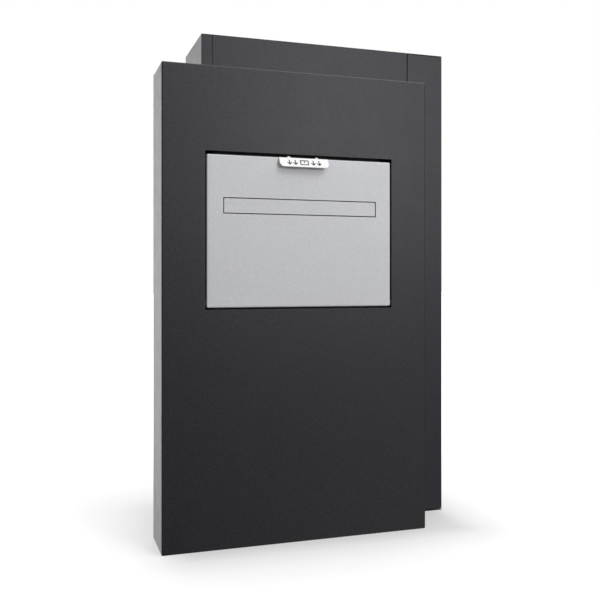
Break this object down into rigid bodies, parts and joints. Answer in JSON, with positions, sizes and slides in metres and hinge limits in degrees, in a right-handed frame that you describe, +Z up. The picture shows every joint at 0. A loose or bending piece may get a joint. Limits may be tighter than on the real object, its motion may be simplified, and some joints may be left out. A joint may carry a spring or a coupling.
{
  "type": "parcel and letter mailbox",
  "caption": "Wall mounted steel mailbox: front housing with a tipping parcel hatch and letter flap, offset rear cabinet with a locking side door.",
  "frame": {"origin": "underside of the rear cabinet's floor, at the middle of the two boxes' combined width and depth", "axes": "+Z up, +Y from the hatch face towards the wall, +X to the right seen from in front"},
  "size_m": [0.722, 0.334, 1.1],
  "materials": {
    "anthracite_coat": "fine-texture matt powder coat",
    "silver_coat": "fine-texture satin metallic powder coat",
    "white_coat": "smooth satin powder coat",
    "zinc_plate": "zinc-plated, satin",
    "bright_steel": "bright, fine turned",
    "lock_chrome": "polished",
    "black_rubber": "matt",
    "white_nylon": "natural, moulded"
  },
  "bodies": {
    "cabinet": {"cabinet_back": "anthracite_coat", "cabinet_floor": "anthracite_coat", "cabinet_front": "anthracite_coat", "cabinet_front_post": "anthracite_coat", "cabinet_left_side": "anthracite_coat", "cabinet_rear_post": "anthracite_coat", "cabinet_roof": "anthracite_coat", "chute_guide": "zinc_plate", "door_pin_bottom": "bright_steel", "door_pin_top": "bright_steel", "door_washer": "white_nylon", "floor_mat": "black_rubber", "hatch_jamb_left": "anthracite_coat", "hatch_jamb_right": "anthracite_coat", "hatch_magnet_left": "bright_steel", "hatch_magnet_right": "bright_steel", "hatch_seal_left": "black_rubber", "hatch_seal_right": "black_rubber", "hatch_sill": "anthracite_coat", "head_rail": "anthracite_coat", "housing_back": "anthracite_coat", "housing_shell": "anthracite_coat", "joining_bolt_1": "zinc_plate", "joining_bolt_2": "zinc_plate", "joining_bolt_3": "zinc_plate", "joining_bolt_4": "zinc_plate", "joining_nut_1": "zinc_plate", "joining_nut_2": "zinc_plate", "joining_nut_3": "zinc_plate", "joining_nut_4": "zinc_plate", "pivot_pin_left": "bright_steel", "pivot_pin_right": "bright_steel", "wall_rail_lower": "zinc_plate", "wall_rail_upper": "zinc_plate"},
    "hatch": {"hatch_panel": "silver_coat", "pivot_bush_left": "white_nylon", "pivot_bush_right": "white_nylon", "hopper_floor": "zinc_plate", "hopper_cheek_left": "zinc_plate", "hopper_cheek_right": "zinc_plate", "hatch_buffer_left": "black_rubber", "hatch_buffer_right": "black_rubber", "pull_tab": "white_coat", "tab_rivet_left": "white_coat", "tab_rivet_right": "white_coat", "letter_guard": "zinc_plate", "flap_bracket_left": "zinc_plate", "flap_bracket_right": "zinc_plate", "flap_rod": "bright_steel"},
    "letter_flap": {"letter_flap": "silver_coat", "flap_spring": "bright_steel"},
    "side_door": {"side_door": "anthracite_coat", "door_stiffener": "anthracite_coat", "lock_housing": "lock_chrome", "lock_nut": "zinc_plate"},
    "lock": {"lock_core": "lock_chrome", "lock_cam": "zinc_plate", "lock_cam_screw": "zinc_plate", "lock_key": "bright_steel"}
  },
  "joints": [
    {"name": "hatch_hinge", "type": "hinge", "parent": "cabinet", "child": "hatch", "pos_m": [-0.0495, -0.149, 0.508], "axis": [1, 0, 0], "range_deg": [0, 50]},
    {"name": "letter_flap_hinge", "type": "hinge", "parent": "hatch", "child": "letter_flap", "pos_m": [-0.0495, -0.1544, 0.725], "axis": [1, 0, 0], "range_deg": [0, 75]},
    {"name": "side_door_hinge", "type": "hinge", "parent": "cabinet", "child": "side_door", "pos_m": [0.2632, -0.036, 0.55], "axis": [0, 0, -1], "range_deg": [0, 90]},
    {"name": "lock_turn", "type": "hinge", "parent": "side_door", "child": "lock", "pos_m": [0.3425, 0.112, 0.56], "axis": [1, 0, 0], "range_deg": [0, 90]}
  ]
}
